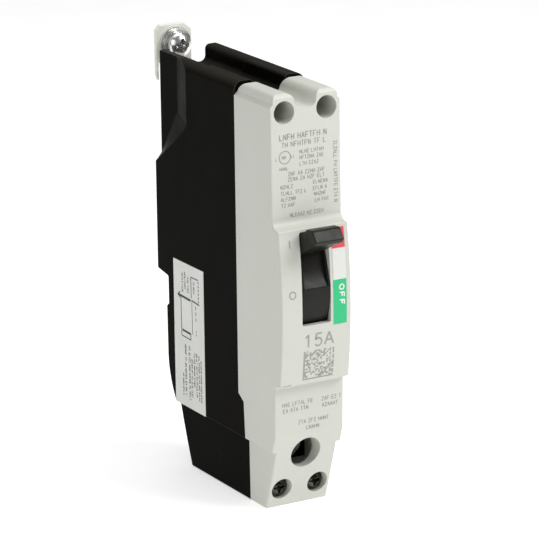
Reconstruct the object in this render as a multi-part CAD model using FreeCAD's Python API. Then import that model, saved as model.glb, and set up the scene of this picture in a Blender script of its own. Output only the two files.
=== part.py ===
"""Single-pole bolt-on moulded-case circuit breaker, in millimetres.

Axes: X across the one-inch pole, front towards -Y, +Z up to the line end.
The shape is drawn with `depth`, the distance forward of the back face, and
`height`, the distance above the load end. export() moves the finished model so
that the origin is the centre of the flat back pad.
"""
import FreeCAD, Part

import math
import os

# ---------------------------------------------------------------- driving dimensions
WIDTH = 25.4                 # one pole
HALF = WIDTH / 2
LOAD_HALF = HALF - 1.47      # the load end is a little narrower
LOAD_END_TOP = 20.9
REAR_HALF = HALF - 2.55      # so is the upper rear, beside the line terminal
BASE_TOP = 137.75
COVER_TOP = 137.3
SEAM = 53.6                  # depth where the black base meets the grey cover
LABEL_FACE = 75.9
PAD_BOTTOM = 64.2
PAD_TOP = 100.5
PAD_CENTRE = (PAD_BOTTOM + PAD_TOP) / 2
WALL = 2.0
EDGE_ROUND = 0.6
TOWER_ROUND = 2.75           # outer top edges of the black base
SHOULDER = 1.1               # the cover's towers are set in this far, above
SHOULDER_TOP = 134.5         # this height
COVER_TOWER_ROUND = 2.0
FRONT_ROUND = 1.8            # top front edge of the cover
STEP_BEVEL = 0.4
PIN_PLAY = 0.06              # radial clearance of a running fit

WINDOW_HALF = 5.2
WINDOW_BOTTOM = 63.6
WINDOW_TOP = 93.8
HANDLE_HALF = 4.9
GRIP_HALF = 5.14
HANDLE_PIVOT = (57.8, 78.8)  # (depth, height)
HANDLE_ON = 27.0             # degrees above straight forward
HANDLE_THROW = 53.0
BARREL_R = 21.0
BARREL_WALL = 2.2
HUB_R = 5.0

ARM_PIVOT = (30.0, 64.0)
ARM_LINK = (25.6, 79.0)      # where the lower links reach the contact arm
ARM_HALF = 2.5
LINK_ANCHOR = (44.0, 79.0)   # upper links, on the cradle
LINK_LENGTH = 9.26
LINK_SLACK = 2.5             # radius of the eye round the arm's link pin, the open pivot
SPRING_ARM = 9.0             # handle pivot to spring anchor
CRADLE_PIVOT = (47.0, 95.0)
TRIP_PIVOT = (46.0, 54.0)
ARMATURE_PIVOT = (42.0, 37.0)
FRAME_X = (6.5, 7.5)
PIN_R = 1.5
SMALL_PIN_R = 1.0

LINE_SCREW_HEIGHT = 137.3
LINE_PLATE = (-9.6, -8.6)    # rear and front of the terminal plate
LINE_PLATE_X = (-7.0, 6.5)
LINE_PLATE_TOP = 143.7
FLAT_WASHER = 1.2             # thickness
LOCK_WASHER = 1.5
LINE_SCREW_R = 2.4
NECK = (129.0, 130.0)
CHANNEL_FLOOR = 132.0

UPPER_SCREW = (7.63, 131.6)  # (x, height)
LOWER_SCREW = (6.57, 6.6)
SCREW_HEAD_R = 3.3
SCREW_BORE_R = 3.65
DRIVER_BORE_R = 5.35
LUG_SCREW_HEIGHT = 19.0
WIRE_DEPTH = 48.4
WIRE_R = 3.4
LUG_DEPTH = (43.6, 56.8)
LUG_HEIGHT = (12.0, 26.0)


# ---------------------------------------------------------------- drawing helpers
def at(x, depth, height):
    return FreeCAD.Vector(x, -depth, height)


def polar(centre, radius, degrees):
    """Point at an angle up from straight forward, as (depth, height)."""
    turn = math.radians(degrees)
    return (centre[0] + radius * math.cos(turn), centre[1] + radius * math.sin(turn))


def profile(start, *steps):
    """Closed side view. A step is a point for a line, or (through, end) for an arc."""
    edges = []
    here = start
    for step in steps + (start,):
        if isinstance(step[0], tuple):
            arc = Part.Arc(at(0, *here), at(0, *step[0]), at(0, *step[1]))
            edges.append(arc.toShape())
            here = step[1]
        elif step != here:
            edges.append(Part.LineSegment(at(0, *here), at(0, *step)).toShape())
            here = step
    return Part.Face(Part.Wire(edges))


def slab(face, x0, x1):
    """The side view, as thick as x0 to x1."""
    moved = face.copy()
    moved.translate(FreeCAD.Vector(x0, 0, 0))
    return moved.extrude(FreeCAD.Vector(x1 - x0, 0, 0))


def plate(points, x0, x1):
    return slab(profile(*points), x0, x1)


def box(x0, x1, d0, d1, z0, z1):
    return Part.makeBox(x1 - x0, d1 - d0, z1 - z0, at(x0, d1, z0))


def across(centre, radius, x0, x1):
    """Round bar along X at a (depth, height)."""
    return Part.makeCylinder(radius, x1 - x0, at(x0, *centre), FreeCAD.Vector(1, 0, 0))


def forward(x, height, radius, d0, d1, end_radius=None):
    """Round or tapered bar along the depth."""
    base = at(x, d0, height)
    if end_radius is None:
        return Part.makeCylinder(radius, d1 - d0, base, FreeCAD.Vector(0, -1, 0))
    return Part.makeCone(radius, end_radius, d1 - d0, base, FreeCAD.Vector(0, -1, 0))


def upright(x, depth, radius, z0, z1, end_radius=None):
    base = at(x, depth, z0)
    if end_radius is None:
        return Part.makeCylinder(radius, z1 - z0, base)
    return Part.makeCone(radius, end_radius, z1 - z0, base)


def join(*shapes):
    return shapes[0].fuse(list(shapes[1:])).removeSplitter()


def cut(shape, *tools):
    return shape.cut(list(tools))


def both_sides(shape):
    """The shape and its mirror image in the plane X = 0."""
    other = shape.mirror(FreeCAD.Vector(0, 0, 0), FreeCAD.Vector(1, 0, 0))
    return [shape, other]


def strip(a, b, half_width, x0, x1):
    """Flat bar with round ends between two (depth, height) points."""
    along = math.degrees(math.atan2(b[1] - a[1], b[0] - a[0]))
    corners = [polar(a, half_width, along + 90), polar(a, half_width, along - 90),
               polar(b, half_width, along - 90), polar(b, half_width, along + 90)]
    return join(plate(corners, x0, x1), across(a, half_width, x0, x1),
                across(b, half_width, x0, x1))


def rounded(solid, radius, wanted):
    return solid.makeFillet(radius, [edge for edge in solid.Edges if wanted(edge)])


def on_sides(half):
    """Picks the edges that lie in the two side faces."""
    def wanted(edge):
        xs = [abs(abs(vertex.X) - half) for vertex in edge.Vertexes]
        return max(xs) < 1e-4
    return wanted


def lies_at(edge, depth):
    return all(abs(vertex.Y + depth) < 1e-4 for vertex in edge.Vertexes)


def coil(start, end, radius, wire, turns):
    """Helical spring between two vectors."""
    axis = end - start
    helix = Part.makeHelix(axis.Length / turns, axis.Length, radius)
    ring = Part.Wire(Part.makeCircle(wire, FreeCAD.Vector(radius, 0, 0), FreeCAD.Vector(0, 1, 0)))
    spring = Part.Wire(helix.Edges).makePipeShell([ring], True, True)
    turn = FreeCAD.Rotation(FreeCAD.Vector(0, 0, 1), axis)
    spring.Placement = FreeCAD.Placement(start, turn)
    return spring


def round_spring(centre, x0, radius, wire, rings, legs):
    """Torsion spring round a pivot: touching rings, and a leg at each angle."""
    parts = []
    for ring in range(rings):
        middle = at(x0 + wire * 1.6 * ring, *centre)
        parts.append(Part.makeTorus(radius, wire, middle, FreeCAD.Vector(1, 0, 0)))
    for ring, (degrees, length) in zip((0, rings - 1), legs):
        foot = polar(centre, radius, degrees)
        tip = polar(foot, length, degrees + 90)
        x = x0 + wire * 1.6 * ring
        run = at(x, *tip) - at(x, *foot)
        parts.append(Part.makeCylinder(0.85 * wire, length, at(x, *foot), run))
    return join(*parts)


def cross_recess(x, height, face_depth, size, depth):
    """Cross-head driver recess cut into a face that looks forward."""
    wide = size / 4.2
    arms = [box(x - size / 2, x + size / 2, face_depth - depth, face_depth + 1,
                height - wide / 2, height + wide / 2),
            box(x - wide / 2, x + wide / 2, face_depth - depth, face_depth + 1,
                height - size / 2, height + size / 2)]
    point = forward(x, height, size * 0.12, face_depth - depth * 1.35, face_depth, size * 0.32)
    return join(arms[0], arms[1], point)


def pan_head(x, height, radius, d0, d1):
    """Domed screw head with a cross recess, its flat side at d0."""
    rim = 0.45 * (d1 - d0)
    dome_height = d1 - d0 - rim
    ball_r = (radius ** 2 + dome_height ** 2) / (2 * dome_height)
    ball = Part.makeSphere(ball_r, at(x, d1 - ball_r, height))
    head = forward(x, height, radius, d0, d1).common(ball)
    return cut(head, cross_recess(x, height, d1, radius * 1.15, 0.55 * (d1 - d0)))


# ---------------------------------------------------------------- linkage geometry
def knee(link_end, side):
    """Where two equal links meet, between the anchor and the arm."""
    span = math.dist(LINK_ANCHOR, link_end)
    rise = side * math.sqrt(LINK_LENGTH ** 2 - (span / 2) ** 2)
    across_d = (LINK_ANCHOR[0] - link_end[0]) / span
    across_z = (LINK_ANCHOR[1] - link_end[1]) / span
    middle = ((LINK_ANCHOR[0] + link_end[0]) / 2, (LINK_ANCHOR[1] + link_end[1]) / 2)
    return (middle[0] - rise * across_z, middle[1] + rise * across_d)


KNEE = knee(ARM_LINK, -1)
SPRING_ANCHOR = polar(HANDLE_PIVOT, SPRING_ARM, 180 + HANDLE_ON)


# ---------------------------------------------------------------- moulded case
def case_outline():
    """Side view of the whole case behind the seam."""
    return profile((0.0, BASE_TOP), (0.0, PAD_BOTTOM), (7.2, 63.0), (7.2, 53.8), (5.84, 52.7),
                   (6.0, 38.0), ((7.2, 28.9), (11.0, LOAD_END_TOP)),
                   ((14.3, 11.2), (18.6, 0.0)), (58.0, 0.0), (57.7, 20.5), (56.9, 33.3),
                   (SEAM, 35.5), (SEAM, BASE_TOP))


def cover_outline():
    """Side view of the cover, with the raised toggle surround."""
    round_height = COVER_TOP - FRONT_ROUND
    round_depth = LABEL_FACE - FRONT_ROUND
    bend = FRONT_ROUND * math.sqrt(0.5)
    return profile((58.0, 0.0), (67.9, 0.0), (76.4, 26.0), (76.9, 43.0), (80.2, 44.3),
                   ((81.9, 68.0), (79.9, 95.0)), ((77.2, 95.6), (76.3, 98.2)),
                   (LABEL_FACE, round_height),
                   ((round_depth + bend, round_height + bend), (round_depth, COVER_TOP)),
                   (55.9, COVER_TOP), (SEAM, 134.4), (SEAM, 35.5), (56.9, 33.3), (57.7, 20.5))


def front_view(points, d0, d1):
    """Bar along the depth, from the corners of its (x, height) section."""
    wire = Part.makePolygon([at(x, d0, height) for x, height in points + points[:1]])
    return Part.Face(wire).extrude(FreeCAD.Vector(0, d0 - d1, 0))


def step_bevel():
    """What is taken off the lower edge of the full-width part, above the narrower load end."""
    corners = [(HALF + 0.1, LOAD_END_TOP - 0.1), (HALF + 0.1, LOAD_END_TOP + STEP_BEVEL + 0.1),
               (HALF - STEP_BEVEL - 0.1, LOAD_END_TOP - 0.1)]
    return front_view(corners, -1, 90)


def stepped_case(outline, keep_sharp_depth):
    """Outline as a solid that narrows at the load end, with softened long edges."""
    upper = slab(outline, -HALF, HALF)
    upper = cut(upper, box(-HALF - 1, HALF + 1, -1, 90, -1, LOAD_END_TOP))
    lower = slab(outline, -LOAD_HALF, LOAD_HALF)
    lower = lower.common(box(-HALF, HALF, -1, 90, -1, LOAD_END_TOP))

    def outer_edge(half):
        in_side = on_sides(half)

        def wanted(edge):
            depths = [-vertex.Y for vertex in edge.Vertexes]
            heights = [vertex.Z for vertex in edge.Vertexes]
            joint = max(abs(height - LOAD_END_TOP) for height in heights) < 1e-4
            seam = all(keep_sharp_depth[0] < depth < keep_sharp_depth[1] for depth in depths)
            return in_side(edge) and not joint and not seam
        return wanted

    upper = cut(rounded(upper, EDGE_ROUND, outer_edge(HALF)), *both_sides(step_bevel()))
    return join(upper, rounded(lower, EDGE_ROUND, outer_edge(LOAD_HALF)))


def rear_relief():
    """The wedge taken off the left side of the upper rear, with its sloped lead-in."""
    def outline(shift_d, shift_z, x):
        points = [(-1.0, PAD_TOP - 0.7 + shift_z), (19.7 - shift_d, 114.5 + shift_z),
                  (22.0 - shift_d, 117.3 + shift_z), (22.0 - shift_d, 139.0), (-1.0, 139.0)]
        return Part.makePolygon([at(x, *point) for point in points + points[:1]])
    slope_depth = 10.4
    slope_rise = 2.1
    return Part.makeLoft([outline(0, 0, -HALF - 0.01), outline(slope_depth, slope_rise, -REAR_HALF)],
                         True, True)


def channel(half, floor, floor_round, lip_round, top, d0, d1):
    """Groove along the top of the case, for a driver to reach the line screw."""
    low = floor + floor_round
    flat = half - floor_round
    lip = half + lip_round
    high = top - lip_round
    bend = math.sqrt(0.5)
    edges = []
    for side in (1, -1):
        def spot(x, height):
            return at(side * x, d0, height)
        edges += [Part.LineSegment(spot(lip, top + 3), spot(lip, top)),
                  Part.Arc(spot(lip, top), spot(lip - lip_round * bend, high + lip_round * bend),
                           spot(half, high)),
                  Part.LineSegment(spot(half, high), spot(half, low)),
                  Part.Arc(spot(half, low), spot(flat + floor_round * bend, low - floor_round * bend),
                           spot(flat, floor)),
                  Part.LineSegment(spot(flat, floor), spot(0, floor))]
    edges.append(Part.LineSegment(at(-lip, d0, top + 3), at(lip, d0, top + 3)))
    wire = Part.Wire(Part.__sortEdges__([edge.toShape() for edge in edges]))
    return Part.Face(wire).extrude(FreeCAD.Vector(0, d0 - d1, 0))


def tower_round():
    """What is taken off an outer top edge of the base."""
    inside = (HALF - TOWER_ROUND, BASE_TOP - TOWER_ROUND)
    corner = box(inside[0], HALF + 1, -1, SEAM + 0.01, inside[1], BASE_TOP + 1)
    return cut(corner, forward(inside[0], inside[1], TOWER_ROUND, -2, SEAM + 1))


def cover_shoulder():
    """What is taken off the outer side of a cover tower: a sloped shoulder, and a large round."""
    side = HALF - SHOULDER
    flat = side - COVER_TOWER_ROUND
    turn = COVER_TOP - COVER_TOWER_ROUND
    setting_in = front_view([(HALF + 1, SHOULDER_TOP - SHOULDER - 1), (HALF + 1, COVER_TOP + 1),
                             (side, COVER_TOP + 1), (side, SHOULDER_TOP)], SEAM - 1, LABEL_FACE + 2)
    corner = box(flat, side + 1, SEAM - 1, LABEL_FACE + 2, turn, COVER_TOP + 1)
    corner = cut(corner, forward(flat, turn, COVER_TOWER_ROUND, SEAM - 2, LABEL_FACE + 3))
    return join(setting_in, corner)


def screw_places():
    """(x, height, depth of the head's flat side) of the four cover screws."""
    upper = [(side * UPPER_SCREW[0], UPPER_SCREW[1], 56.0) for side in (-1, 1)]
    lower = [(side * LOWER_SCREW[0], LOWER_SCREW[1], 66.3) for side in (-1, 1)]
    return upper + lower


def base_housing():
    case = stepped_case(case_outline(), (SEAM - 0.5, 59.0))
    case = cut(case, rear_relief(), *both_sides(tower_round()))
    wide_part = channel(6.75, CHANNEL_FLOOR, 2.0, 1.9, BASE_TOP, -1, SEAM)
    wide_part = wide_part.common(plate([(-2, 125), (19, 125), (31.8, 141), (-2, 141)], -9, 9))
    case = cut(case, wide_part, channel(5.9, CHANNEL_FLOOR, 2.0, 1.2, BASE_TOP, -1, SEAM + 1))

    side = HALF - WALL
    hollow = plate([(2.2, 66.4), (9.4, 65.2), (9.4, 51.6), (8.1, 50.8), (8.3, 38.0), (9.6, 29.9),
                    (12.8, 23.2), (60.0, 23.2), (60.0, 126.5), (24.2, 126.5), (24.2, 116.0),
                    (21.0, 112.0), (2.2, 98.5)], -side, side)
    line_chamber = box(-REAR_HALF + WALL, REAR_HALF - WALL, 2.2, 36.5, 96.0, 130.4)
    lug_chamber = box(-LOAD_HALF + WALL, LOAD_HALF - WALL, 18.6, 60.0, 11.0, 24.0)
    case = cut(case, hollow, line_chamber, lug_chamber)

    posts = [across(spot, 2.4, FRAME_X[1], side + 0.1)
             for spot in ((30.0, 60.5), (46.5, 58.0), (48.0, 92.0))]
    for post in posts:
        case = join(case, *both_sides(post))

    case = cut(case, box(-4.6, 4.6, -1, 3, NECK[0] - 0.1, NECK[1] + 0.1))
    for x, height, head in screw_places():
        case = cut(case, forward(x, height, 1.45, head - 18.2, 60))
    case = cut(case, upright(0, WIRE_DEPTH, WIRE_R, -1, 12),
               upright(0, WIRE_DEPTH, WIRE_R + 0.8, -0.01, 0.8, WIRE_R))
    return case


def front_cover():
    cover = stepped_case(cover_outline(), (SEAM - 0.5, 59.0))
    cover = cut(cover, channel(4.0, 132.2, 2.6, 2.4, COVER_TOP, SEAM - 1, LABEL_FACE + 2),
                *both_sides(cover_shoulder()))

    side = HALF - WALL
    hollow = slab(profile((50.0, 26.5), (50.0, 126.5), (73.7, 126.5), (74.2, 97.4), (77.6, 93.6),
                          ((79.6, 69.0), (78.0, 46.3)), (74.7, 44.9), (74.3, 28.0), (72.5, 26.5)),
                  -side, side)
    cover = cut(cover, hollow)

    window = box(-WINDOW_HALF, WINDOW_HALF, 70, 86, WINDOW_BOTTOM, WINDOW_TOP)
    window = rounded(window, 0.8, lambda edge: abs(edge.Vertexes[0].Y - edge.Vertexes[-1].Y) > 5)
    swept = across(HANDLE_PIVOT, 26.8, -WINDOW_HALF - 0.3, WINDOW_HALF + 0.3)
    swept = swept.common(box(-8, 8, 60, 90, 50, WINDOW_BOTTOM + 2))
    cover = cut(cover, window, swept)

    lug_room = box(WALL - LOAD_HALF, LOAD_HALF - WALL, 50.0, 69.0, 11.6, 24.0)
    cover = cut(cover, lug_room, forward(0, LUG_SCREW_HEIGHT, DRIVER_BORE_R, 56, 80))
    for x, height, head in screw_places():
        cover = cut(cover, forward(x, height, SCREW_BORE_R, head, 80), forward(x, height, 1.7, 50, 80))
    gate_notch = box(-11.6, -8.6, 79.0, 82.0, 43.4, 44.75)
    return cut(cover, gate_notch)


def position_label():
    """Printed strip beside the window that shows which way the handle stands."""
    skin = slab(profile((80.2, 44.3), ((81.9, 68.0), (79.9, 95.0)), (80.05, 95.0),
                        ((82.05, 68.0), (80.35, 44.3))), 6.2, 10.9)
    return skin.common(box(6.2, 10.9, 70, 90, 62.6, 93.6))


def side_label():
    return box(-HALF - 0.1, -HALF, 11.4, 31.6, LOAD_END_TOP + 0.15, 70.4)


def cover_screws():
    screws = []
    for x, height, head in screw_places():
        shank = forward(x, height, 1.42, head - 18.0, head + 0.1)
        screws.append(join(pan_head(x, height, SCREW_HEAD_R, head, head + 2.4), shank))
    return screws


# ---------------------------------------------------------------- line terminal
def line_terminal_strap():
    """Plate with two legs behind the base, on a neck that runs in to the fixed contact."""
    rear, front = LINE_PLATE
    left, right = LINE_PLATE_X
    top = LINE_PLATE_TOP
    leg = 1.15
    foot = 125.4
    outline = [(left, foot + 1.8), (left + 0.5, foot), (left + leg, foot), (left + leg, 131.0),
               (right - leg, 131.0), (right - leg, foot), (right - 0.5, foot), (right, foot + 1.8),
               (right, top - 2.5), (right - 2.9, top), (left + 1.6, top), (left, top - 1.5)]
    face_plate = front_view(outline, rear, front)
    face_plate = face_plate.makeChamfer(0.3, [edge for edge in face_plate.Edges if lies_at(edge, front)])
    neck = box(-4.5, 4.5, rear, 12.5, NECK[0], NECK[1])
    riser = box(-4.5, 4.5, rear, front, NECK[0], 131.5)
    contact_leg = box(-3.6, 3.6, 11.5, 12.5, 107.5, NECK[1])
    strap = join(face_plate, riser, neck, contact_leg)
    return cut(strap, forward(0, LINE_SCREW_HEIGHT, LINE_SCREW_R + 0.3, rear - 1, front + 1))


def line_flat_washer():
    front = LINE_PLATE[1]
    ring = forward(0, LINE_SCREW_HEIGHT, 5.5, front, front + FLAT_WASHER)
    return cut(ring, forward(0, LINE_SCREW_HEIGHT, LINE_SCREW_R + PIN_PLAY, front - 1, front + 3))


def line_lock_washer():
    front = LINE_PLATE[1] + FLAT_WASHER
    ring = forward(0, LINE_SCREW_HEIGHT, 4.65, front, front + LOCK_WASHER)
    ring = cut(ring, forward(0, LINE_SCREW_HEIGHT, LINE_SCREW_R + PIN_PLAY, front - 1, front + 3))
    split = box(2.0, 6.0, front - 1, front + 3, LINE_SCREW_HEIGHT - 0.3, LINE_SCREW_HEIGHT + 0.3)
    return cut(ring, split)


def line_screw():
    """Captive terminal screw: its threaded end goes into the panel's bus bar."""
    rear = LINE_PLATE[0]
    head = LINE_PLATE[1] + FLAT_WASHER + LOCK_WASHER
    thread = forward(0, LINE_SCREW_HEIGHT, LINE_SCREW_R, -16.0, rear)
    neck = forward(0, LINE_SCREW_HEIGHT, LINE_SCREW_R - 0.2, rear, head + 0.1)
    tip = forward(0, LINE_SCREW_HEIGHT, LINE_SCREW_R - 0.5, -16.5, -16.0, LINE_SCREW_R)
    return join(thread, neck, tip, pan_head(0, LINE_SCREW_HEIGHT, 4.1, head, head + 3.6))


def stationary_contact_tip():
    return box(-2.4, 2.4, 12.5, 14.0, 109.6, 114.4)


# ---------------------------------------------------------------- contact arm and arc chute
def moving_contact_arm():
    bar = plate([(15.5, 115.5), (15.5, 108.0), (24.0, 77.0), (28.2, 62.0), (29.2, 57.5),
                 (32.6, 57.5), (31.8, 64.0), (18.1, 109.0), (17.9, 115.5)], -ARM_HALF, ARM_HALF)
    bar = join(bar, across(ARM_PIVOT, 3.4, -ARM_HALF, ARM_HALF),
               across(ARM_LINK, 2.3, -ARM_HALF, ARM_HALF))
    return cut(bar, across(ARM_PIVOT, PIN_R + PIN_PLAY, -5, 5), across(ARM_LINK, 0.8, -5, 5))


def moving_contact_tip():
    return box(-2.3, 2.3, 14.1, 15.5, 109.8, 114.2)


def contact_carrier():
    block = plate([(24.6, 60.0), (24.6, 71.5), (28.0, 72.5), (34.2, 70.0), (35.2, 62.0),
                   (33.0, 58.8), (27.0, 58.8)], -5.9, 5.9)
    slot = box(-ARM_HALF, ARM_HALF, 20, 40, 50, 80)
    pocket = forward(0, 67.6, 1.9, 24.0, 26.0)
    floor = plate([(24.6, 65.0), (24.6, 70.0), (25.6, 70.0), (25.6, 65.0)], -ARM_HALF, ARM_HALF)
    block = join(cut(block, slot), cut(floor, pocket.common(box(-3, 3, 25.2, 27, 60, 75))))
    return cut(block, across(ARM_PIVOT, PIN_R + PIN_PLAY, -8, 8))


def arm_link_pin():
    return across(ARM_LINK, 0.8, -4.0, 4.0)


def arm_pivot_pin():
    return across(ARM_PIVOT, PIN_R, -FRAME_X[1], FRAME_X[1])


def arc_plates():
    plates = []
    for index in range(7):
        rear = 18.6 + 2.6 * index
        sheet = box(-7.2, 7.2, rear, rear + 1.0, 106.0, 127.0)
        corners = [(-4.6, 105.0), (4.6, 105.0), (3.3, 116.0), (2.0, 118.4), (-2.0, 118.4),
                   (-3.3, 116.0)]
        wire = Part.makePolygon([at(x, rear - 1, height) for x, height in corners + corners[:1]])
        notch = Part.Face(wire).extrude(FreeCAD.Vector(0, -4, 0))
        plates.append(cut(sheet, notch))
    return plates


def arc_chute_side():
    return box(7.2, 7.9, 17.4, 35.4, 104.5, 127.3)


def vent_baffle():
    sheet = box(-7.9, 7.9, 15.0, 35.4, 127.5, 128.4)
    slots = [box(-5.6, 5.6, depth, depth + 1.2, 127, 129) for depth in (18.2, 21.2, 24.2, 27.2)]
    return cut(sheet, *slots)


# ---------------------------------------------------------------- operating mechanism
def mechanism_frame():
    sheet = plate([(26.0, 58.0), (34.0, 58.0), (41.0, 50.0), (51.0, 50.0), (51.0, 66.0),
                   (61.5, 74.0), (61.5, 83.5), (52.0, 99.0), (43.0, 99.5), (34.0, 90.0),
                   (26.0, 72.0)], *FRAME_X)
    holes = [across(ARM_PIVOT, PIN_R, 6, 8), across(HANDLE_PIVOT, PIN_R, 6, 8),
             across(CRADLE_PIVOT, PIN_R, 6, 8),
             across(TRIP_PIVOT, SMALL_PIN_R + PIN_PLAY, 6, 8)]
    return cut(sheet, *holes)


def handle():
    """Toggle: grip, stem, hub, and the curved apron that keeps the window shut."""
    pivot = HANDLE_PIVOT

    def lay(points, x):
        """Points along and across the stem, as a plate from -x to x."""
        placed = []
        for along, offset in points:
            end = polar(pivot, along, HANDLE_ON)
            placed.append(polar(end, offset, HANDLE_ON + 90))
        return plate(placed, -x, x)

    def sector(inner, outer, low, high, x):
        middle = (low + high) / 2
        face = profile(polar(pivot, inner, low), polar(pivot, outer, low),
                       (polar(pivot, outer, middle), polar(pivot, outer, high)),
                       polar(pivot, inner, high),
                       (polar(pivot, inner, middle), polar(pivot, inner, low)))
        return slab(face, -x, x)

    stem = lay([(2.0, -2.8), (29.5, -2.8), (29.5, 2.75), (2.0, 2.75)], HANDLE_HALF)
    grip = lay([(29.0, -2.8), (31.6, -3.1), (33.9, -3.1), (35.4, -2.4), (34.9, 1.2),
                (34.3, 1.9), (31.6, 3.0), (31.0, 2.75), (29.0, 2.75)], GRIP_HALF)
    grip = rounded(grip, 0.35, on_sides(GRIP_HALF))
    inner = BARREL_R - BARREL_WALL
    shell = sector(inner, BARREL_R, -8.0, HANDLE_ON + HANDLE_THROW + 11, HANDLE_HALF)
    rib = sector(HUB_R - 1, inner + 0.5, -30.0, HANDLE_ON + HANDLE_THROW + 8, 1.0)
    facet = profile((pivot[0] + 18.5, pivot[1] - 2.6), (pivot[0] + 24.2, pivot[1] - 3.3),
                    ((pivot[0] + 23.9, pivot[1] - 8.2), (pivot[0] + 22.7, pivot[1] - 13.4)),
                    (pivot[0] + 21.8, pivot[1] - 14.8), (pivot[0] + 18.2, pivot[1] - 13.0))
    web = profile((pivot[0] + 18.5, pivot[1] - 3.4), (pivot[0] + 23.9, pivot[1] - 3.4),
                  ((pivot[0] + 21.7, pivot[1] + 0.6), (pivot[0] + 20.3, pivot[1] + 5.2)),
                  (pivot[0] + 18.5, pivot[1] + 5.2))
    cheek = plate([(pivot[0] + 18.5, pivot[1] - 2.6), (pivot[0] + 24.2, pivot[1] - 3.3),
                   (pivot[0] + 20.6, pivot[1] + 8.9), (pivot[0] + 18.0, pivot[1] + 7.4)],
                  HANDLE_HALF - 0.6, HANDLE_HALF)
    body = join(stem, grip, shell, rib, slab(facet, -HANDLE_HALF, HANDLE_HALF),
                slab(web, -HANDLE_HALF, HANDLE_HALF),
                across(pivot, HUB_R, -HANDLE_HALF, HANDLE_HALF), *both_sides(cheek))
    return cut(body, across(pivot, PIN_R + PIN_PLAY, -8, 8))


def handle_pin():
    return across(HANDLE_PIVOT, PIN_R, -FRAME_X[1], FRAME_X[1])


def handle_yoke():
    """Steel cheeks on the handle's hub that carry the spring anchor."""
    front = polar(HANDLE_PIVOT, 13.0, HANDLE_ON)
    cheek = join(strip(HANDLE_PIVOT, SPRING_ANCHOR, 2.2, 5.0, 5.8),
                 strip(HANDLE_PIVOT, front, 2.2, 5.0, 5.8), across(HANDLE_PIVOT, 4.2, 5.0, 5.8))
    cheek = cut(cheek, across(HANDLE_PIVOT, PIN_R + PIN_PLAY, 4, 7),
                across(SPRING_ANCHOR, SMALL_PIN_R, 4, 7))
    return both_sides(cheek)


def spring_anchor_pin():
    return across(SPRING_ANCHOR, SMALL_PIN_R, -5.8, 5.8)


def mechanism_springs():
    """Pair of tension springs from the knee of the links to the handle's anchor."""
    start = at(2.2, *KNEE)
    end = at(2.2, *SPRING_ANCHOR)
    along = (end - start).normalize()
    body = coil(start + along * 3.0, end - along * 3.0, 1.1, 0.3, 9)
    return both_sides(body)


def upper_links():
    link = strip(LINK_ANCHOR, KNEE, 2.1, 5.1, 5.9)
    link = cut(link, across(LINK_ANCHOR, SMALL_PIN_R + PIN_PLAY, 4, 7),
               across(KNEE, SMALL_PIN_R, 4, 7))
    return both_sides(link)


def cradle_link_pins():
    return both_sides(across(LINK_ANCHOR, SMALL_PIN_R, 4.0, 6.2))


def toggle_pin():
    return across(KNEE, SMALL_PIN_R, -5.9, 5.9)


def lower_links():
    link = join(strip(KNEE, ARM_LINK, 2.0, 3.0, 3.8), across(ARM_LINK, LINK_SLACK + 0.9, 3.0, 3.8))
    link = cut(link, across(KNEE, SMALL_PIN_R + PIN_PLAY, 2, 5), across(ARM_LINK, LINK_SLACK, 2, 5))
    return both_sides(link)


def cradle():
    """Latched lever: two side plates and a web, slotted where it holds the links."""
    nose = (39.7, 58.6)
    side = join(strip(CRADLE_PIVOT, LINK_ANCHOR, 2.9, 4.1, 4.9),
                strip(LINK_ANCHOR, nose, 1.5, 4.1, 4.9),
                plate([(38.6, 56.0), (40.85, 56.0), (41.1, 59.0), (38.3, 59.0)], 4.1, 4.9))
    slot = strip((LINK_ANCHOR[0] - 1.0, LINK_ANCHOR[1]), (LINK_ANCHOR[0] + 1.0, LINK_ANCHOR[1]),
                 SMALL_PIN_R + 0.25, 3, 6)
    side = cut(side, slot, across(CRADLE_PIVOT, PIN_R + PIN_PLAY, 3, 6))
    web = box(-4.2, 4.2, 43.6, 47.2, 90.0, 91.0)
    return join(web, *both_sides(side))


def cradle_pin():
    return across(CRADLE_PIVOT, PIN_R, -FRAME_X[1], FRAME_X[1])


# ---------------------------------------------------------------- trip unit
def trip_bar():
    pivot = TRIP_PIVOT
    barrel = across(pivot, 2.2, -6.3, 6.3)
    trunnion = across(pivot, SMALL_PIN_R, -FRAME_X[1], FRAME_X[1])
    finger = plate([(46.0, 52.4), (37.8, 53.6), (37.8, 55.5), (41.05, 55.6), (41.05, 56.6),
                    (42.4, 56.6), (43.0, 56.0), (46.0, 56.2)], -5.2, 5.2)
    tail = plate([(44.6, 54.0), (43.3, 40.6), (44.9, 40.6), (47.2, 54.0)], -2.2, 2.2)
    return join(barrel, trunnion, finger, tail)


def trip_bar_spring():
    return round_spring(TRIP_PIVOT, 5.5, 2.5, 0.22, 2, ((200, 5.0), (20, 5.0)))


def bimetal():
    strip_metal = box(-3.5, 3.5, 36.5, 37.5, 24.4, 47.0)
    return cut(strip_metal, forward(0, 45.0, 1.1, 30, 40))


def calibration_screw():
    head = forward(0, 45.0, 1.9, 33.6, 35.0)
    shank = forward(0, 45.0, 1.1, 34.9, 42.6)
    slot = box(-0.25, 0.25, 33.0, 34.2, 42.0, 48.0)
    return cut(join(head, shank), slot)


def magnet_yoke():
    back = box(-6.4, 6.4, 34.5, 35.5, 27.0, 36.0)
    leg = plate([(34.5, 27.0), (40.6, 27.0), (40.6, 35.2), (44.0, 35.2), (44.0, 39.0),
                 (38.0, 39.0), (34.5, 36.0)], 5.4, 6.4)
    leg = cut(leg, across(ARMATURE_PIVOT, 0.8 + PIN_PLAY, 5, 7))
    return join(back, *both_sides(leg))


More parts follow.
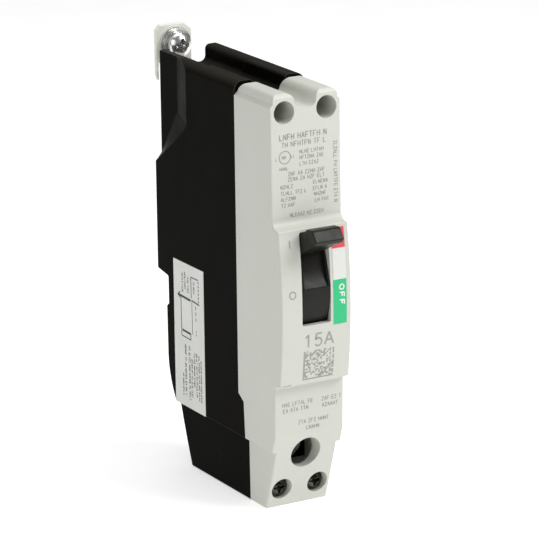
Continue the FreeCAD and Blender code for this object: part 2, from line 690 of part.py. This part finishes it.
def armature():
    upper = box(-5.0, 5.0, 41.5, 42.5, 34.0, 43.0)
    lower = box(-6.4, 6.4, 41.5, 42.5, 26.5, 34.6)
    return join(upper, lower, across(ARMATURE_PIVOT, 0.8, -6.4, 6.4))


def armature_spring():
    return round_spring(ARMATURE_PIVOT, 5.2, 1.05, 0.12, 1, ((0, 3.5), (180, 3.0)))


def flexible_braid():
    """Copper braid from the foot of the contact arm to the bimetal."""
    bend, top, low, rear, weld = 3.6, 57.3, 41.5, 30.9, 36.4
    down = Part.LineSegment(at(0, rear, top), at(0, rear, low + bend)).toShape()
    corner = polar((rear + bend, low + bend), bend, 225)
    turn = Part.Arc(at(0, rear, low + bend), at(0, *corner), at(0, rear + bend, low)).toShape()
    out = Part.LineSegment(at(0, rear + bend, low), at(0, weld, low)).toShape()
    ring = Part.Wire(Part.makeCircle(1.2, at(0, rear, top), FreeCAD.Vector(0, 0, 1)))
    return Part.Wire([down, turn, out]).makePipeShell([ring], True, True)


# ---------------------------------------------------------------- load terminal
def load_terminal():
    return plate([(43.5, 12.2), (43.5, 24.0), (36.5, 24.0), (36.5, 31.0), (35.6, 31.0),
                  (35.6, 23.0), (42.5, 23.0), (42.5, 12.2)], -4.8, 4.8)


def load_lug():
    block = box(-5.9, 5.9, *LUG_DEPTH, *LUG_HEIGHT)
    return cut(block, upright(0, WIRE_DEPTH, WIRE_R, 10, 30),
               forward(0, LUG_SCREW_HEIGHT, LINE_SCREW_R + 0.1, WIRE_DEPTH, 60))


def lug_pad():
    return forward(0, LUG_SCREW_HEIGHT, 2.2, 51.95, 52.9)


def lug_screw():
    shank = forward(0, LUG_SCREW_HEIGHT, LINE_SCREW_R, 53.0, 62.3)
    return join(shank, pan_head(0, LUG_SCREW_HEIGHT, 4.3, 62.2, 65.2))


# ---------------------------------------------------------------- export
def export(name, shape):
    solids = shape if isinstance(shape, list) else shape.Solids
    for solid in solids:
        if not solid.isValid():
            print("invalid", name)
    print(name, len(solids), round(sum(solid.Volume for solid in solids), 2))
    group = Part.makeCompound(solids) if len(solids) > 1 else solids[0]
    group.translate(FreeCAD.Vector(0, 0, -PAD_CENTRE))
    group.exportStep("parts/%s.step" % name)


ONE_OFF_PARTS = [
    base_housing, front_cover, position_label, side_label, cover_screws,
    line_terminal_strap, line_flat_washer, line_lock_washer, line_screw, stationary_contact_tip,
    moving_contact_arm, moving_contact_tip, contact_carrier, arm_link_pin, arm_pivot_pin,
    arc_plates, vent_baffle,
    handle, handle_pin, handle_yoke, spring_anchor_pin, mechanism_springs, upper_links,
    cradle_link_pins, toggle_pin, lower_links, cradle, cradle_pin,
    trip_bar, trip_bar_spring, bimetal, calibration_screw, magnet_yoke, armature,
    armature_spring, flexible_braid, load_terminal, load_lug, lug_pad, lug_screw]

LEFT_AND_RIGHT_PARTS = [mechanism_frame, arc_chute_side]

os.makedirs("parts", exist_ok=True)
for make in ONE_OFF_PARTS:
    export(make.__name__, make())
for make in LEFT_AND_RIGHT_PARTS:
    right, left = both_sides(make())
    export(make.__name__ + "_right", right)
    export(make.__name__ + "_left", left)
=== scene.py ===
import math
import random

import bmesh
import bpy
from mathutils import Matrix, Vector
from mathutils.bvhtree import BVHTree


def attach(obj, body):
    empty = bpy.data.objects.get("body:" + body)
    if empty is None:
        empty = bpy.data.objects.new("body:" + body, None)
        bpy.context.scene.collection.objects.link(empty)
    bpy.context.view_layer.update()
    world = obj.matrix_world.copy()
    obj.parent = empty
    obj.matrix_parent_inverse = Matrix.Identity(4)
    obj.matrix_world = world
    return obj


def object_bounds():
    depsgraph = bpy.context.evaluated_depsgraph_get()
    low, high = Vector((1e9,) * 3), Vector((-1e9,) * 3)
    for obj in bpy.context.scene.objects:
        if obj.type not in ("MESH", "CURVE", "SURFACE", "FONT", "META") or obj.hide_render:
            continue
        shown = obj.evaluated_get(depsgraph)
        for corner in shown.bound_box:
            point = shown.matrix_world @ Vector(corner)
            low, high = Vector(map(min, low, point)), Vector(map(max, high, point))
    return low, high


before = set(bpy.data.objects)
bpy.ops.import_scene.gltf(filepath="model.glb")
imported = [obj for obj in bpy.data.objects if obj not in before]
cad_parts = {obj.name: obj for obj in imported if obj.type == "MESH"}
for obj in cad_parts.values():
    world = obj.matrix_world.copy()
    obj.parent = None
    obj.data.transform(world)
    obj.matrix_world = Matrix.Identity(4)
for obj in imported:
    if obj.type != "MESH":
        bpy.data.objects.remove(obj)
cad_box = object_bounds()
MM = 0.001
PER_METRE = 1000.0
WHITE = (1.0, 1.0, 1.0, 1.0)
EVEN = (1.0, 1.0, 1.0)       # a texture that isn't stretched
INK_RISE = 0.035 * MM        # how far a printed mark stands proud
INK_ROOT = 0.06 * MM         # and how far it goes into the surface
CLEAR = 0.2                  # outside the object on every side, in metres


# ---------------------------------------------------------------- camera, light and floor
CAMERA_TURN = math.radians(-29.874)
CAMERA_RISE = math.radians(16.124)
CAMERA_ROLL = math.radians(-0.717)
CAMERA_DISTANCE = 1120.395 * MM
CAMERA_LENS = 231.13
AIM = Vector((0.0, -40.0, -12.35)) * MM
AIM_SHIFT = (-6.194 * MM, -1.1 * MM)
LIGHT_TARGET = Vector((0.0, -0.03, -0.01))
FLOOR_HALF = 3.0
FLOOR_GLOW = 0.46
WORLD_GLOW = 0.12


def make_camera():
    back = Vector((math.sin(CAMERA_TURN) * math.cos(CAMERA_RISE),
                   -math.cos(CAMERA_TURN) * math.cos(CAMERA_RISE),
                   math.sin(CAMERA_RISE)))
    level = Vector((math.cos(CAMERA_TURN), math.sin(CAMERA_TURN), 0.0))
    upright = back.cross(level)
    right = math.cos(CAMERA_ROLL) * level + math.sin(CAMERA_ROLL) * upright
    up = math.cos(CAMERA_ROLL) * upright - math.sin(CAMERA_ROLL) * level
    data = bpy.data.cameras.new("camera")
    data.lens = CAMERA_LENS
    data.clip_start = 0.05
    data.clip_end = 50.0
    camera = bpy.data.objects.new("camera", data)
    turned = Matrix((right, up, back)).transposed().to_4x4()
    spot = AIM - AIM_SHIFT[0] * right - AIM_SHIFT[1] * up + CAMERA_DISTANCE * back
    camera.matrix_world = Matrix.Translation(spot) @ turned
    bpy.context.scene.collection.objects.link(camera)
    bpy.context.scene.camera = camera


def softbox(name, spot, size, watts):
    """Rectangular light at `spot`, turned to the object; sizes in metres."""
    data = bpy.data.lights.new(name, "AREA")
    data.shape = "RECTANGLE"
    data.size, data.size_y = size
    data.energy = watts
    light = bpy.data.objects.new(name, data)
    light.location = spot
    light.rotation_euler = (LIGHT_TARGET - Vector(spot)).to_track_quat("-Z", "Y").to_euler()
    bpy.context.scene.collection.objects.link(light)


def make_studio():
    world = bpy.data.worlds.new("studio")
    world.use_nodes = True
    background = world.node_tree.nodes["Background"]
    background.inputs["Color"].default_value = WHITE
    background.inputs["Strength"].default_value = WORLD_GLOW
    bpy.context.scene.world = world
    bpy.context.scene.view_settings.view_transform = "Standard"
    softbox("key", (0.38, -0.52, 0.52), (0.38, 0.38), 4.1)
    softbox("fill", (-1.3, -1.1, 0.55), (0.8, 1.2), 4.7)
    softbox("top", (0.0, 0.1, 1.3), (1.4, 1.4), 14.0)
    softbox("rim", (-0.9, 1.0, 0.5), (0.12, 1.0), 1.2)


def make_floor():
    mesh = bpy.data.meshes.new("floor")
    level = cad_box[0].z - 0.05 * MM
    sides = ((-1, -1), (1, -1), (1, 1), (-1, 1))
    mesh.from_pydata([(FLOOR_HALF * x, FLOOR_HALF * y, level) for x, y in sides], [], [(0, 1, 2, 3)])
    floor = bpy.data.objects.new("floor", mesh)
    bpy.context.scene.collection.objects.link(floor)
    paint = surface("floor_paint", (0.86, 0.86, 0.86), (0.84, 0.84, 0.84), (0.55, 0.65),
                    patch=60.0, grain=0.8, bump=0.02)
    floor_shader = paint.node_tree.nodes["Principled BSDF"]
    floor_shader.inputs["Emission Color"].default_value = WHITE
    floor_shader.inputs["Emission Strength"].default_value = FLOOR_GLOW
    mesh.materials.append(paint)


# ---------------------------------------------------------------- materials
# The corner and up-facing masks paint light into colour: painted highlight and painted shade along corners,
# painted sheen on faces that look up.
CORNER_REACH = 0.4 * MM
CORNER_COSINES = (0.90, 0.998)    # rounded against true normal, from full corner to none
UP_COSINES = (0.15, 0.85)         # normal against the vertical, from none to full


class Graph:
    """One material's node tree, with object coordinates in millimetres."""

    def __init__(self, name):
        self.made = bpy.data.materials.new(name)
        self.made.use_nodes = True
        self.tree = self.made.node_tree
        self.shader = self.tree.nodes["Principled BSDF"]
        where = self.add("ShaderNodeTexCoord")
        self.place = where.outputs["Object"]

    def add(self, kind, **settings):
        node = self.tree.nodes.new(kind)
        for key, value in settings.items():
            setattr(node, key, value)
        return node

    def link(self, source, target):
        self.tree.links.new(source, target)

    def scaled(self, size, stretch):
        """Coordinates in which a feature of that many millimetres is one unit."""
        node = self.add("ShaderNodeMapping")
        self.link(self.place, node.inputs["Vector"])
        node.inputs["Scale"].default_value = [PER_METRE / (size * s) for s in stretch]
        return node.outputs["Vector"]

    def noise(self, size, detail=2.0, roughness=0.5, stretch=EVEN):
        """Noise with features of `size` mm."""
        node = self.add("ShaderNodeTexNoise")
        self.link(self.scaled(size, stretch), node.inputs["Vector"])
        node.inputs["Scale"].default_value = 1.0
        node.inputs["Detail"].default_value = detail
        node.inputs["Roughness"].default_value = roughness
        return node.outputs["Fac"]

    def ramp(self, value, stops, interpolation="LINEAR"):
        """Colours along a value, as (place, colour) pairs."""
        node = self.add("ShaderNodeValToRGB")
        node.color_ramp.interpolation = interpolation
        self.link(value, node.inputs["Fac"])
        elements = node.color_ramp.elements
        while len(elements) < len(stops):
            elements.new(0.5)
        for element, (spot, colour) in zip(elements, stops):
            element.position = spot
            element.color = (*colour, 1.0)
        return node.outputs["Color"]

    def spread(self, value, low, high, start=0.3, end=0.7):
        """Takes start..end to low..high; noise mostly lies between 0.3 and 0.7."""
        node = self.add("ShaderNodeMapRange")
        self.link(value, node.inputs["Value"])
        node.inputs["From Min"].default_value = start
        node.inputs["From Max"].default_value = end
        node.inputs["To Min"].default_value = low
        node.inputs["To Max"].default_value = high
        return node.outputs["Result"]

    def blend(self, share, source, colour):
        """The source's colour, and `colour` where share is 1."""
        node = self.add("ShaderNodeMix", data_type="RGBA")
        first, second = (socket for socket in node.inputs if socket.type == "RGBA")
        self.link(share, node.inputs["Factor"])
        self.link(source, first)
        second.default_value = (*colour, 1.0)
        return next(socket for socket in node.outputs if socket.type == "RGBA")

    def painted_top_sheen_mask(self):
        """0 on upright faces, 1 on level ones that look up, where a painted sheen stands in for light from
        above.
        """
        around = self.add("ShaderNodeNewGeometry")
        split = self.add("ShaderNodeSeparateXYZ")
        self.link(around.outputs["Normal"], split.inputs["Vector"])
        return self.spread(split.outputs["Z"], 0.0, 1.0, *UP_COSINES)

    def corners(self):
        """1 at a sharp edge and 0 from CORNER_REACH away; it places the painted highlight and painted shade
        along edges.
        """
        soft = self.add("ShaderNodeBevel", samples=6)
        soft.inputs["Radius"].default_value = CORNER_REACH
        flat = self.add("ShaderNodeNewGeometry")
        turned = self.add("ShaderNodeVectorMath", operation="DOT_PRODUCT")
        self.link(soft.outputs["Normal"], turned.inputs[0])
        self.link(flat.outputs["Normal"], turned.inputs[1])
        return self.spread(turned.outputs["Value"], 1.0, 0.0, *CORNER_COSINES)

    def bump(self, height, depth):
        """A bump of that many millimetres."""
        node = self.add("ShaderNodeBump")
        node.inputs["Distance"].default_value = depth * MM
        node.inputs["Strength"].default_value = 1.0
        self.link(height, node.inputs["Height"])
        return node.outputs["Normal"]

    def finish(self, colour, roughness, normal, metallic):
        """Feeds the shader."""
        self.link(colour, self.shader.inputs["Base Color"])
        self.link(roughness, self.shader.inputs["Roughness"])
        self.link(normal, self.shader.inputs["Normal"])
        self.shader.inputs["Metallic"].default_value = metallic


def surface(name, light, dark, roughness, patch, grain, bump, metallic=0.0,
            stretch=EVEN, specular=0.5, edge=None, top=None):
    """A finish whose colour drifts over `patch` mm and whose grain is `grain` mm across.

    `edge` is the colour along corners (a painted highlight on the black moulding, painted shade on the
    plated steel), and `top` is that of faces that look up, a painted sheen.
    """
    graph = Graph(name)
    drift = graph.noise(patch, 3.0, 0.55, stretch)
    fine = graph.noise(grain, 2.0, 0.6, stretch)
    tone = graph.ramp(drift, [(0.3, dark), (0.7, light)])
    shaded = graph.blend(graph.spread(fine, 0.0, 0.12), tone, tuple(0.6 * c for c in dark))
    if top is not None:
        # painted sheen: faces that look up are lightened as if lit from above
        shaded = graph.blend(graph.painted_top_sheen_mask(), shaded, top)
    if edge is not None:
        # painted edge light: a painted highlight or painted shade along corners, depending on the edge
        # colour
        shaded = graph.blend(graph.corners(), shaded, edge)
    worn = graph.noise(0.35 * patch, 3.0, 0.6, stretch)
    graph.finish(shaded, graph.spread(worn, *roughness), graph.bump(fine, bump), metallic)
    graph.shader.inputs["Specular IOR Level"].default_value = specular
    return graph.made


def position_strip():
    """The indicator beside the handle: red above, white between, green below."""
    low, high = -20.0 * MM, 12.0 * MM
    white_from, red_from = ((z * MM - low) / (high - low) for z in (-5.35, 4.65))
    graph = Graph("position_strip_print")
    split = graph.add("ShaderNodeSeparateXYZ")
    graph.link(graph.place, split.inputs["Vector"])
    share = graph.spread(split.outputs["Z"], 0.0, 1.0, low, high)
    bands = graph.ramp(share, [(0.0, (0.002, 0.51, 0.195)), (white_from, (0.71, 0.715, 0.67)),
                               (red_from, (0.72, 0.055, 0.075))], "CONSTANT")
    fine = graph.noise(0.35, 3.0)
    shaded = graph.blend(graph.spread(fine, 0.0, 0.08), bands, (0.35, 0.35, 0.33))
    graph.finish(shaded, graph.spread(graph.noise(4.0), 0.34, 0.46), graph.bump(fine, 0.008), 0.0)
    return graph.made


def braided_copper():
    """Two sets of crossing strands."""
    strands = 1.6 * PER_METRE
    graph = Graph("braided_copper")
    waves = []
    for direction in ((1.0, 1.0, 1.0), (1.0, -1.0, 1.0)):
        node = graph.add("ShaderNodeTexWave", wave_type="BANDS", bands_direction="DIAGONAL")
        mapping = graph.add("ShaderNodeMapping")
        graph.link(graph.place, mapping.inputs["Vector"])
        mapping.inputs["Scale"].default_value = [strands * d for d in direction]
        graph.link(mapping.outputs["Vector"], node.inputs["Vector"])
        node.inputs["Scale"].default_value = 1.0
        waves.append(node.outputs["Fac"])
    woven = graph.add("ShaderNodeMath", operation="MAXIMUM")
    for wave, socket in zip(waves, woven.inputs):
        graph.link(wave, socket)
    height = woven.outputs["Value"]
    shaded = graph.ramp(height, [(0.2, (0.18, 0.06, 0.03)), (0.9, (0.86, 0.42, 0.26))])
    graph.finish(shaded, graph.spread(graph.noise(1.0), 0.3, 0.5), graph.bump(height, 0.12), 1.0)
    return graph.made


ALONG_Z = (1.0, 1.0, 6.0)    # rolled grain, drawn out along Z
finishes = {
    "grey_moulding": surface("grey_moulding_finish", (0.610, 0.622, 0.562), (0.590, 0.602, 0.544),
                             (0.40, 0.52), patch=24.0, grain=0.28, bump=0.010),
    # edge is a painted highlight along corners and top a painted sheen on faces that look up
    "black_moulding": surface("black_moulding_finish", (0.0052, 0.0048, 0.0038), (0.0036, 0.0033, 0.0027),
                              (0.26, 0.40), patch=30.0, grain=0.35, bump=0.010, specular=0.008,
                              edge=(0.066, 0.060, 0.049), top=(0.023, 0.021, 0.017)),
    "handle_moulding": surface("handle_moulding_finish", (0.014, 0.0135, 0.0105), (0.010, 0.0095, 0.0075),
                               (0.30, 0.42), patch=8.0, grain=0.22, bump=0.010, specular=0.17),
    "side_label_stock": surface("label_paper", (0.75, 0.76, 0.72), (0.71, 0.72, 0.685), (0.48, 0.62),
                                patch=14.0, grain=0.16, bump=0.006),
    "label_print": position_strip(),
    "dark_screw_steel": surface("blackened_steel", (0.12, 0.115, 0.10), (0.035, 0.032, 0.028), (0.10, 0.22),
                                patch=2.0, grain=0.12, bump=0.004, metallic=1.0),
    # edge is painted shade along corners, where parts such as the washers meet
    "plated_steel": surface("zinc_plate", (0.86, 0.86, 0.84), (0.82, 0.82, 0.80), (0.20, 0.26),
                            patch=6.0, grain=0.3, bump=0.0002, metallic=0.92, edge=(0.20, 0.20, 0.185)),
    "plated_copper": surface("tin_plate", (0.85, 0.845, 0.775), (0.77, 0.765, 0.695), (0.34, 0.50),
                             patch=5.0, grain=0.2, bump=0.003, metallic=0.15, stretch=ALONG_Z),
    "contact_silver": surface("contact_silver_finish", (0.80, 0.78, 0.73), (0.62, 0.60, 0.56), (0.25, 0.45),
                              patch=1.5, grain=0.1, bump=0.006, metallic=1.0),
    "copper": braided_copper(),
    "trip_moulding": surface("trip_moulding_finish", (0.30, 0.055, 0.042), (0.23, 0.042, 0.034), (0.38, 0.5),
                             patch=6.0, grain=0.25, bump=0.01),
    "steel": surface("bright_steel", (0.58, 0.575, 0.56), (0.46, 0.455, 0.44), (0.24, 0.40),
                     patch=3.5, grain=0.12, bump=0.005, metallic=1.0, stretch=(1.0, 1.0, 5.0)),
    "fibre": surface("fibre_board", (0.42, 0.33, 0.24), (0.33, 0.25, 0.18), (0.6, 0.75),
                     patch=3.0, grain=0.18, bump=0.02),
    "spring_steel": surface("spring_wire", (0.50, 0.49, 0.47), (0.40, 0.39, 0.37), (0.22, 0.34),
                            patch=1.2, grain=0.08, bump=0.004, metallic=1.0),
    "bimetal_alloy": surface("bimetal_finish", (0.62, 0.57, 0.47), (0.50, 0.46, 0.38), (0.3, 0.42),
                             patch=2.4, grain=0.12, bump=0.005, metallic=1.0, stretch=ALONG_Z),
    "brass_screw": surface("brass", (0.78, 0.60, 0.28), (0.66, 0.50, 0.22), (0.22, 0.36),
                           patch=1.5, grain=0.1, bump=0.005, metallic=1.0),
    "lug_aluminium": surface("lug_finish", (0.72, 0.72, 0.71), (0.60, 0.60, 0.59), (0.28, 0.44),
                             patch=2.4, grain=0.18, bump=0.008, metallic=1.0, stretch=(5.0, 1.0, 1.0)),
}
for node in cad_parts.values():
    for slot in node.material_slots:
        slot.material = finishes[slot.material.name]
solid_copper = surface("rolled_copper", (0.83, 0.42, 0.27), (0.72, 0.34, 0.21), (0.24, 0.38),
                       patch=3.0, grain=0.14, bump=0.004, metallic=1.0, stretch=(1.0, 1.0, 5.0))
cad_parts["moving_contact_arm"].material_slots[0].material = solid_copper


def ink(name, light, dark, roughness):
    return surface(name, light, dark, roughness, patch=3.0, grain=0.15, bump=0.003)


grey_ink = ink("grey_ink", (0.36, 0.36, 0.33), (0.30, 0.30, 0.275), (0.45, 0.6))
dark_ink = ink("dark_ink", (0.020, 0.020, 0.020), (0.012, 0.012, 0.012), (0.4, 0.55))
white_ink = ink("white_ink", (0.86, 0.87, 0.85), (0.80, 0.81, 0.79), (0.4, 0.5))


# ---------------------------------------------------------------- printed marks
def tree_of(node):
    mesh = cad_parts[node].data
    return BVHTree.FromPolygons([v.co for v in mesh.vertices], [p.vertices for p in mesh.polygons])


def on_front(tree):
    """Takes (x, z) in mm to the surface straight behind it, and the way out of it."""
    def place(across, up):
        return tree.ray_cast(Vector((across * MM, -CLEAR, up * MM)), Vector((0.0, 1.0, 0.0)))[:2]
    return place


def on_side(tree):
    """Takes (depth, z) in mm to the left face, and the way out of it."""
    def place(depth, up):
        return tree.ray_cast(Vector((-CLEAR, -depth * MM, up * MM)), Vector((1.0, 0.0, 0.0)))[:2]
    return place


def finish_piece(name, mesh, material, body):
    """Turns the bmesh into a piece that rides on `body`."""
    bmesh.ops.recalc_face_normals(mesh, faces=mesh.faces)
    data = bpy.data.meshes.new(name)
    mesh.to_mesh(data)
    mesh.free()
    data.materials.append(material)
    piece = bpy.data.objects.new(name, data)
    bpy.context.scene.collection.objects.link(piece)
    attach(piece, body)


def printed(name, outlines, place, material):
    """Thin closed mark: every outline is a convex polygon in the face's own (across, up) mm."""
    mesh = bmesh.new()
    for outline in outlines:
        area = sum(a[0] * b[1] - b[0] * a[1] for a, b in zip(outline, outline[1:] + outline[:1]))
        if area < 0:
            outline = outline[::-1]
        tops, roots = [], []
        for across, up in outline:
            spot, normal = place(across, up)
            tops.append(mesh.verts.new(spot + normal * INK_RISE))
            roots.append(mesh.verts.new(spot - normal * INK_ROOT))
        mesh.faces.new(tops)
        mesh.faces.new(roots[::-1])
        for i, top in enumerate(tops):
            j = (i + 1) % len(tops)
            mesh.faces.new((top, roots[i], roots[j], tops[j]))
    finish_piece(name, mesh, material, "case")


def stroke(start, end, width):
    """Straight pen stroke as a quad."""
    along = Vector(end) - Vector(start)
    side = Vector((-along.y, along.x)).normalized() * width / 2
    return [tuple(Vector(p) + s * side) for p, s in ((start, -1), (end, -1), (end, 1), (start, 1))]


def path(points, width):
    return [stroke(a, b, width) for a, b in zip(points, points[1:]) if a != b]


def ring(centre, radius, width, steps=28):
    inner, outer = radius - width / 2, radius + width / 2
    outlines = []
    for i in range(steps):
        first, last = math.tau * i / steps, math.tau * (i + 1) / steps
        outlines.append([(centre[0] + r * math.cos(a), centre[1] + r * math.sin(a))
                         for a, r in ((first, inner), (first, outer), (last, outer), (last, inner))])
    return outlines


# Unreadable marks, each a few strokes x0, y0, x1, y1 in a cell one unit wide and one high.
SCRIBBLES = (
    ((0, 0, 0, 1), (0, 1, 1, 1), (0, 0.5, 0.8, 0.5)),
    ((0, 0, 0, 1), (1, 0, 1, 1), (0, 0.5, 1, 0.5)),
    ((0, 0, 0, 1), (0, 0, 1, 0)),
    ((0, 1, 1, 1), (0.5, 0, 0.5, 1)),
    ((0, 0, 0, 1), (0, 1, 1, 1), (0, 0, 1, 0), (0, 0.5, 0.9, 0.5)),
    ((0, 0, 0.5, 1), (0.5, 1, 1, 0), (0.25, 0.4, 0.75, 0.4)),
    ((0, 0, 0, 1), (0, 1, 1, 0), (1, 0, 1, 1)),
    ((0, 0, 1, 0), (0, 1, 1, 1), (1, 1, 0, 0)),
)


def scribble(left, base, right, height, rng, weight=0.18, turned=False):
    """A row of unreadable marks as big as small print, in words of two to six.

    A turned row runs downward: it is laid out along (-z, x).
    """
    outlines = []
    step = 0.80 * height
    wide = 0.52 * height
    gap = 0.55 * height
    here = left
    word = rng.randint(2, 6)
    while here + wide <= right:
        if word == 0:
            word = rng.randint(2, 6)
            here += gap
            continue
        for x0, y0, x1, y1 in rng.choice(SCRIBBLES):
            ends = [(here + x * wide, base + y * height) for x, y in ((x0, y0), (x1, y1))]
            if turned:
                ends = [(y, -x) for x, y in ends]
            outlines.append(stroke(*ends, weight * height))
        here += step
        word -= 1
    return outlines


def arc(centre, radii, start, end, steps=14):
    """Points round part of an ellipse; angles in degrees."""
    angles = [math.radians(start + (end - start) * i / steps) for i in range(steps + 1)]
    return [(centre[0] + radii[0] * math.cos(a), centre[1] + radii[1] * math.sin(a)) for a in angles]


# Pen paths of the few real characters, in a cell one unit wide and one high.
PEN = {
    "1": [[(0.30, 0.78), (0.62, 1.0), (0.62, 0.0)]],
    "5": [[(0.92, 1.0), (0.30, 1.0), (0.20, 0.52)] + arc((0.50, 0.32), (0.40, 0.32), 125, -150)],
    "A": [[(0.0, 0.0), (0.5, 1.0), (1.0, 0.0)], [(0.19, 0.36), (0.81, 0.36)]],
    "I": [[(0.5, 0.0), (0.5, 1.0)]],
    "O": [arc((0.5, 0.5), (0.46, 0.48), 0, 360, 24)],
    "F": [[(0.12, 0.0), (0.12, 1.0), (0.92, 1.0)], [(0.12, 0.52), (0.80, 0.52)]],
}


def lettering(text, left, base, wide, height, step, weight, downward=False):
    """Real characters drawn as pen strokes; downward ones read from top to bottom."""
    outlines = []
    for index, character in enumerate(text):
        for line in PEN[character]:
            ends = [(index * step + x * wide, y * height) for x, y in line]
            if downward:
                ends = [(y, -x) for x, y in ends]
            outlines += path([(left + x, base + y) for x, y in ends], weight)
    return outlines


def code_block(left, base, right, top, cells, rng):
    """A square of random cells, which says nothing."""
    outlines = []
    wide, tall = (right - left) / cells, (top - base) / cells
    for row in range(cells):
        for column in range(cells):
            edge = row == 0 or column == 0
            if edge or rng.random() < 0.46:
                x0, z0 = left + column * wide, base + row * tall
                x1, z1 = x0 + wide * 0.98, z0 + tall * 0.98
                outlines.append([(x0, z0), (x1, z0), (x1, z1), (x0, z1)])
    return outlines


# Rows of small print on the cover: left end, base line, right end and height.
FRONT_ROWS = (
    (-9.4, 40.55, 8.4, 1.75), (-8.65, 38.2, 8.3, 1.55),
    (-2.3, 35.6, 6.5, 1.15), (-2.3, 33.75, 7.0, 1.15), (-2.3, 31.75, 4.7, 1.15), (-9.5, 30.9, -5.7, 1.0),
    (-6.5, 28.95, 6.9, 1.2), (-6.6, 27.2, 6.8, 1.2),
    (-9.25, 25.0, -3.9, 1.15), (2.5, 25.3, 8.2, 1.15), (-9.25, 23.0, 0.7, 1.15), (2.4, 23.3, 8.2, 1.15),
    (-9.25, 21.05, -3.5, 1.15), (2.75, 21.4, 8.2, 1.15), (-9.1, 19.1, -3.1, 1.15), (3.1, 19.4, 8.2, 1.15),
    (-6.0, 15.75, 6.0, 1.15),
    (-9.8, -46.0, 1.6, 1.25), (-9.5, -48.0, 0.7, 1.25), (4.6, -46.1, 11.7, 1.25), (4.8, -48.2, 11.7, 1.25),
    (-3.9, -52.6, 7.3, 1.25), (-1.0, -54.8, 4.0, 1.25),
)


def print_front():
    """Small print, the circled mark, the rating, I and O, the cell block and the strip's OFF."""
    place = on_front(tree_of("front_cover"))
    rng = random.Random(7)
    rows = []
    for left, base, right, height in FRONT_ROWS:
        rows += scribble(left, base, right, height, rng)
    rows += ring((-7.6, 35.0), 2.0, 0.30)
    rows += scribble(-8.6, 34.5, -6.6, 1.0, rng) + scribble(-5.3, 34.7, -3.9, 0.9, rng)
    rows += scribble(-10.9, 34.2, -10.2, 0.9, rng)
    printed("cover_small_print", rows, place, grey_ink)
    upward = scribble(-38.0, 10.0, -18.2, 1.2, rng, turned=True)
    printed("cover_serial_row", upward, place, grey_ink)

    marks = lettering("15A", -4.9, -25.9, 3.15, 4.1, 3.95, 0.60)
    marks += lettering("I", -9.85, 7.0, 2.0, 2.45, 0.0, 0.38)
    marks += lettering("O", -9.8, -9.25, 2.4, 2.4, 0.0, 0.42)
    printed("cover_rating_marks", marks, place, grey_ink)
    cells = code_block(-4.55, -36.9, 6.6, -27.2, 20, rng)
    printed("cover_cell_block", cells, place, grey_ink)
    letters = lettering("OFF", 8.35, -6.95, 1.75, 1.65, 2.45, 0.42, downward=True)
    printed("position_letters", letters, on_front(tree_of("position_label")), white_ink)


def dashes(start, end, count, width):
    """A broken line."""
    outlines = []
    for i in range(count):
        shares = (i / count, (i + 0.6) / count)
        ends = [tuple(a + (b - a) * share for a, b in zip(start, end)) for share in shares]
        outlines.append(stroke(*ends, width))
    return outlines


# Rows on the side label, which run downward: depth, upper end, lower end (both as -z) and height.
SIDE_ROWS = (
    (16.9, 15.8, 22.6, 0.85), (18.6, 15.2, 22.0, 0.85), (20.6, 16.6, 21.7, 0.85),
    (16.6, 50.2, 58.2, 0.8), (18.3, 39.9, 57.8, 0.95), (20.9, 40.0, 58.9, 0.95),
    (22.6, 44.0, 57.6, 0.8), (24.2, 41.4, 53.2, 0.8), (25.8, 41.2, 56.6, 0.8),
    (27.4, 41.6, 57.6, 0.8), (28.8, 43.0, 57.4, 0.7), (24.6, 17.0, 21.4, 0.8),
)


def print_side():
    """Generic circuit sketch and rows of unreadable print on the side label."""
    place = on_side(tree_of("side_label"))
    rng = random.Random(11)
    sketch = [stroke((14.1, -23.6), (22.8, -23.9), 0.80), stroke((16.9, -35.2), (22.6, -35.4), 0.75)]
    sketch += path([(15.8, -22.4), (14.4, -23.4), (15.6, -24.6)], 0.42)
    sketch += path([(16.2, -24.0), (16.4, -37.2), (22.5, -37.4), (22.6, -35.4)], 0.36)
    sketch += path([(23.6, -24.2), (23.8, -35.2)], 0.26)
    sketch += path([(23.3, -22.8), (23.2, -15.8), (28.1, -15.7)], 0.34)
    sketch += dashes((28.1, -16.2), (28.1, -24.0), 6, 0.46)
    sketch += path([(23.4, -23.6), (28.6, -24.1)], 0.48)
    sketch += dashes((26.2, -25.0), (26.2, -31.0), 3, 0.34)
    sketch += dashes((26.2, -33.4), (26.2, -35.6), 2, 0.3)
    printed("side_label_sketch", sketch, place, dark_ink)
    rows = []
    for depth, start, end, height in SIDE_ROWS:
        rows += scribble(start, depth, end, height, rng, 0.17, turned=True)
    printed("side_label_rows", rows, place, dark_ink)


# ---------------------------------------------------------------- screw thread
def line_screw_thread():
    """Helical ridge round the stud of the line screw."""
    axis_z = 54.95 * MM
    pitch, root, crest = 0.794 * MM, 2.38 * MM, 2.56 * MM
    start, end = 9.9 * MM, 15.9 * MM
    steps = 28
    outline = ((root, -0.42), (crest, -0.08), (crest, 0.08), (root, 0.42))    # radius, share of the pitch
    sections = []
    mesh = bmesh.new()
    for i in range(int((end - start) / pitch * steps)):
        turn = math.tau * i / steps
        along = start + pitch * i / steps
        section = []
        for radius, offset in outline:
            section.append(mesh.verts.new((radius * math.cos(turn), along + offset * pitch,
                                           axis_z + radius * math.sin(turn))))
        sections.append(section)
    for here, following in zip(sections, sections[1:]):
        for i in range(len(outline)):
            j = (i + 1) % len(outline)
            mesh.faces.new((here[i], here[j], following[j], following[i]))
    mesh.faces.new(sections[0])
    mesh.faces.new(sections[-1][::-1])
    finish_piece("line_screw_thread", mesh, finishes["plated_steel"], "line_screw")


make_camera()
make_studio()
make_floor()
print_front()
print_side()
line_screw_thread()
